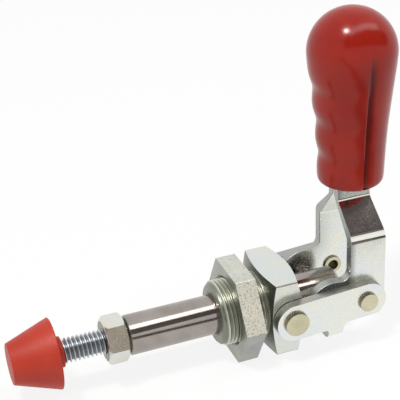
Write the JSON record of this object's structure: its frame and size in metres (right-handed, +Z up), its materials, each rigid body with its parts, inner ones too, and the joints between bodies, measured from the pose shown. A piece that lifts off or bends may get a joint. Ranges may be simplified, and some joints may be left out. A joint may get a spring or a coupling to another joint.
{
  "type": "toggle clamp",
  "caption": "Push-pull toggle clamp: handle and link drive a rubber-tipped plunger through a threaded mounting barrel.",
  "frame": {"origin": "centre of the collar's seat face on the plunger axis, where the clamp meets its panel", "axes": "+X rearward along the plunger, +Y to the far side, +Z up along the locked handle"},
  "size_m": [0.0947, 0.0256, 0.0807],
  "materials": {
    "zinc_plated_steel": "bright zinc plating",
    "ground_steel": "ground and polished",
    "yellow_zinc_steel": "plated pin heads, faintly yellow",
    "red_rubber": "matt red",
    "red_grip_plastic": "glossy red"
  },
  "bodies": {
    "base": {"body": "zinc_plated_steel", "pivot_pin_near": "yellow_zinc_steel", "pivot_pin_far": "yellow_zinc_steel"},
    "nut": {"mounting_nut": "zinc_plated_steel"},
    "ram": {"plunger": "ground_steel", "jam_nut": "zinc_plated_steel"},
    "spindle": {"spindle_bolt": "zinc_plated_steel", "bumper": "red_rubber"},
    "link": {"link": "zinc_plated_steel"},
    "handle": {"handle_plate_near": "zinc_plated_steel", "handle_plate_far": "zinc_plated_steel", "rivet_near": "yellow_zinc_steel", "rivet_far": "yellow_zinc_steel", "plunger_pin": "ground_steel", "grip": "red_grip_plastic"}
  },
  "joints": [
    {"name": "mounting_nut_slide", "type": "slide", "parent": "base", "child": "nut", "axis": [1, 0, 0], "range_m": [-0.0035, 0.0027]},
    {"name": "link_swing", "type": "hinge", "parent": "base", "child": "link", "pos_m": [0.0049, 0, 0], "axis": [0, 1, 0], "range_deg": [0, 32]},
    {"name": "handle_swing", "type": "hinge", "parent": "link", "child": "handle", "pos_m": [0.02347, 0, 0.001], "axis": [0, 1, 0], "range_deg": [0, 58]},
    {"name": "plunger_slide", "type": "slide", "parent": "base", "child": "ram", "axis": [1, 0, 0], "range_m": [0, 0.0041]},
    {"name": "spindle_adjust", "type": "slide", "parent": "ram", "child": "spindle", "axis": [1, 0, 0], "range_m": [-0.006, 0.0075]}
  ],
  "couplings": [
    {"joint": "link_swing", "follows": "handle_swing", "ratio": 0.5415},
    {"joint": "plunger_slide", "follows": "handle_swing", "m_per_rad": 0.003917}
  ]
}
